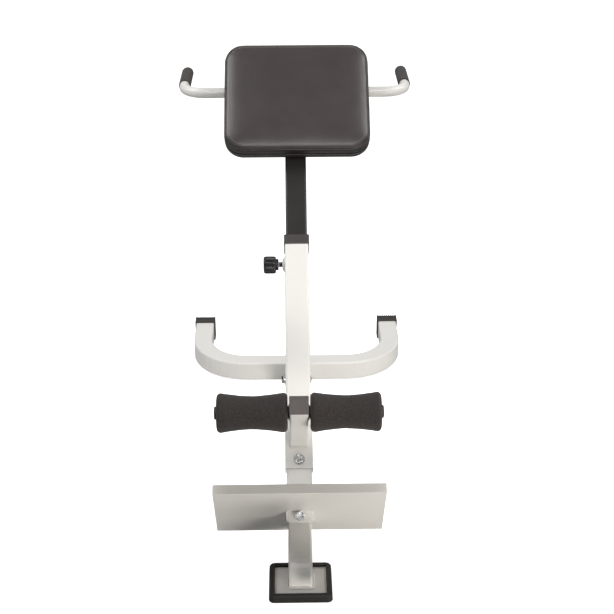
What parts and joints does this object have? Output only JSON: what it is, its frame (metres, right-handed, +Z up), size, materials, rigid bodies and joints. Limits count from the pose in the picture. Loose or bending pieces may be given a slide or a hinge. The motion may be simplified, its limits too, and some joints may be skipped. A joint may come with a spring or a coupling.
{
  "type": "roman chair",
  "caption": "Inclined back-extension bench with a telescoping thigh pad, side handles, foam ankle rollers, foot plate and U-shaped rear stabiliser.",
  "frame": {"origin": "centre of the footprint on the floor", "axes": "+Z up, +Y from the foot plate towards the pad and rear stabiliser, +X to the right seen from the foot end"},
  "size_m": [0.5246, 1.1112, 0.8113],
  "materials": {
    "white_powder_coat": "glossy white powder coat",
    "black_powder_coat": "satin black powder coat",
    "black_vinyl": "black upholstery vinyl, semi-matt with fine grain",
    "black_foam": "closed-cell foam rubber, matt and finely speckled",
    "black_plastic": "moulded black plastic",
    "black_rubber": "moulded black rubber",
    "zinc_plated_steel": "bright zinc plate",
    "plywood": "bare plywood"
  },
  "bodies": {
    "frame": {"axle_plug_left": "black_plastic", "axle_plug_right": "black_plastic", "beam_collar": "black_plastic", "clevis": "white_powder_coat", "clevis_bolt": "zinc_plated_steel", "clevis_nut": "zinc_plated_steel", "clevis_washer": "zinc_plated_steel", "foot_plate": "white_powder_coat", "foot_plate_bolt": "zinc_plated_steel", "foot_plate_nut": "zinc_plated_steel", "foot_plate_washer": "zinc_plated_steel", "foot_plate_washer_back": "zinc_plated_steel", "front_base_plate": "white_powder_coat", "front_leg": "white_powder_coat", "front_leg_weld": "white_powder_coat", "front_rubber_boot": "black_rubber", "knob_boss": "white_powder_coat", "main_beam": "white_powder_coat", "rear_strut": "white_powder_coat", "rear_u_bar": "white_powder_coat", "roller_axle": "black_powder_coat", "roller_post": "white_powder_coat", "roller_post_cap": "black_plastic", "roller_saddle": "white_powder_coat", "roller_washer_left": "black_plastic", "roller_washer_right": "black_plastic", "saddle_bolt": "zinc_plated_steel", "saddle_nut": "zinc_plated_steel", "saddle_washer_back": "zinc_plated_steel", "saddle_washer_front": "zinc_plated_steel", "strut_doubler": "white_powder_coat", "u_bar_cap_left": "black_rubber", "u_bar_cap_right": "black_rubber"},
    "seat_carriage": {"seat_post": "black_powder_coat", "seat_post_glide": "black_plastic", "seat_post_cap": "black_plastic", "pad_plate": "black_powder_coat", "pad_board": "plywood", "thigh_pad": "black_vinyl", "pad_screw_1": "zinc_plated_steel", "pad_screw_2": "zinc_plated_steel", "pad_screw_3": "zinc_plated_steel", "pad_screw_4": "zinc_plated_steel", "handlebar": "white_powder_coat", "hand_grip_left": "black_foam", "hand_grip_right": "black_foam", "handlebar_weld_left": "white_powder_coat", "handlebar_weld_right": "white_powder_coat"},
    "clamp_knob": {"clamp_screw": "zinc_plated_steel", "knob_head": "black_plastic"},
    "left_roller": {"foam_roller_left": "black_foam", "roller_core_left": "black_plastic"},
    "right_roller": {"foam_roller_right": "black_foam", "roller_core_right": "black_plastic"}
  },
  "joints": [
    {"name": "seat_post_slide", "type": "slide", "parent": "frame", "child": "seat_carriage", "axis": [0, 0.7559, 0.6547], "range_m": [-0.15, 0.07]},
    {"name": "knob_turn", "type": "hinge", "parent": "frame", "child": "clamp_knob", "pos_m": [-0.025, 0.02998, 0.42719], "axis": [-1, 0, 0], "range_deg": [0, 720]},
    {"name": "roller_left_spin", "type": "hinge", "parent": "frame", "child": "left_roller", "pos_m": [-0.08, -0.38893, 0.3104], "axis": [1, 0, 0], "continuous": true},
    {"name": "roller_right_spin", "type": "hinge", "parent": "frame", "child": "right_roller", "pos_m": [0.08, -0.38893, 0.3104], "axis": [1, 0, 0], "continuous": true}
  ]
}
